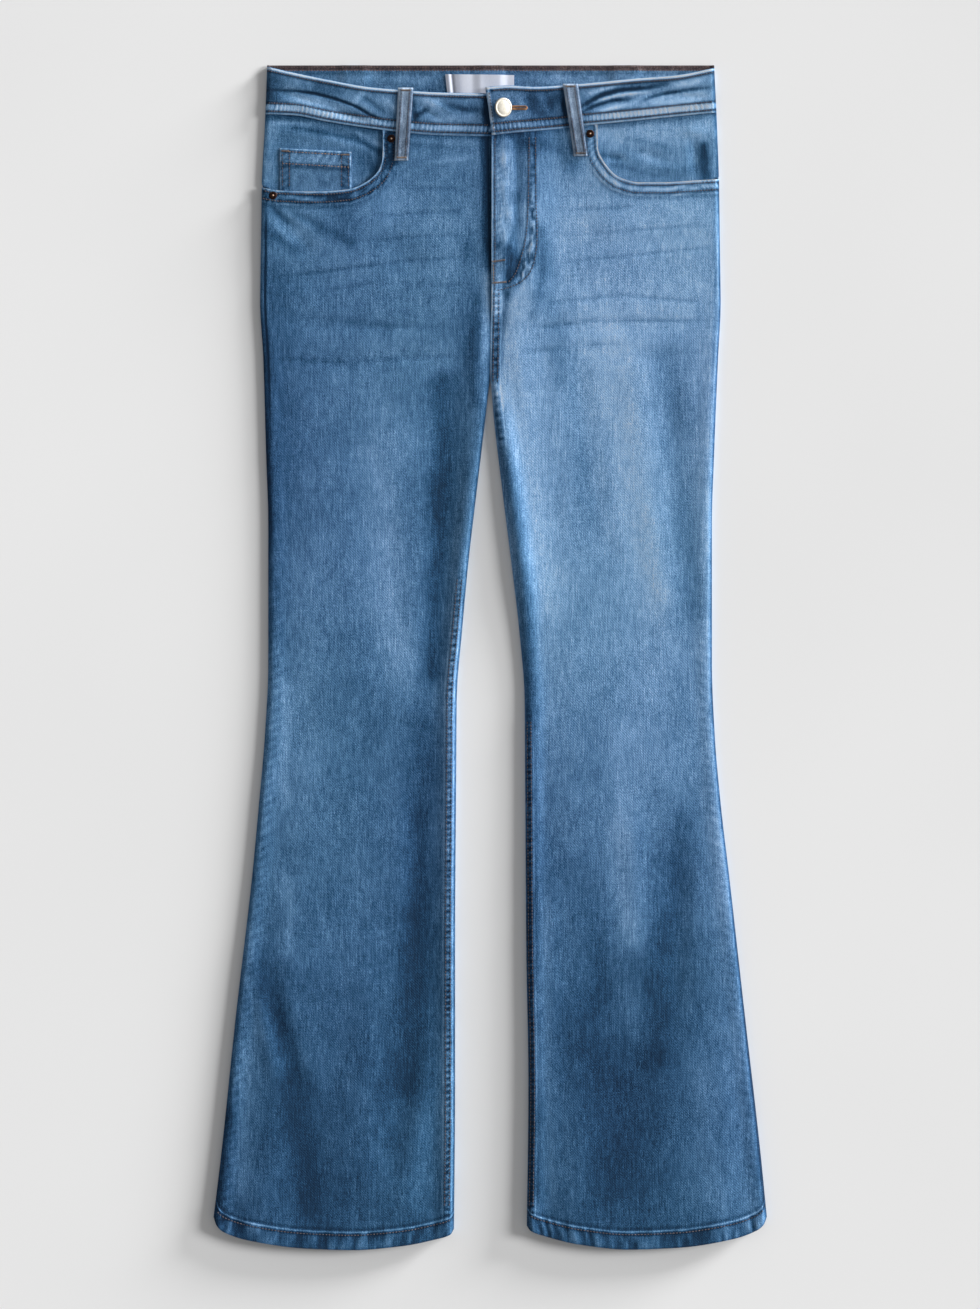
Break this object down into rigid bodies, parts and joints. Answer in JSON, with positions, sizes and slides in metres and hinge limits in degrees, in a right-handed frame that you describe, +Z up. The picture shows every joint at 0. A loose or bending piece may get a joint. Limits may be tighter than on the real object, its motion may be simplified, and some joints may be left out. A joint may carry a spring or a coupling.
{
  "type": "flared jeans",
  "caption": "Flared denim jeans laid flat face up, with waistband, belt loops, fly, scooped front pockets, a coin pocket and long flared legs.",
  "frame": {"origin": "on the surface the jeans lie on, at the middle of the outline", "axes": "+X to the wearer's left, which is the right of someone looking down on the front; +Y up to the waist; +Z up off the surface"},
  "size_m": [0.5058, 1.0829, 0.0124],
  "materials": {
    "denim": "mid-blue washed stretch denim with vertical slubs, faded along seams and edges",
    "satin": "bare white satin label",
    "nickel": "pale satin nickel button",
    "copper": "dark antique copper rivet",
    "zip_brass": "plain brass zip, hidden by the fly"
  },
  "bodies": {
    "root": {"back_belt_loop_centre": "denim", "back_belt_loop_left": "denim", "back_belt_loop_right": "denim", "back_panel_left": "denim", "back_panel_right": "denim", "back_pocket_left": "denim", "back_pocket_right": "denim", "back_yoke_left": "denim", "back_yoke_right": "denim", "button": "nickel", "coin_pocket": "denim", "fly_shield": "denim", "front_belt_loop_left": "denim", "front_belt_loop_right": "denim", "front_panel_left": "denim", "front_panel_right": "denim", "label": "satin", "pocket_facing_left": "denim", "pocket_facing_right": "denim", "rivet_1": "copper", "rivet_2": "copper", "rivet_3": "copper", "waistband_back": "denim", "waistband_front_left": "denim", "waistband_front_right": "denim", "zip": "zip_brass"}
  },
  "joints": []
}
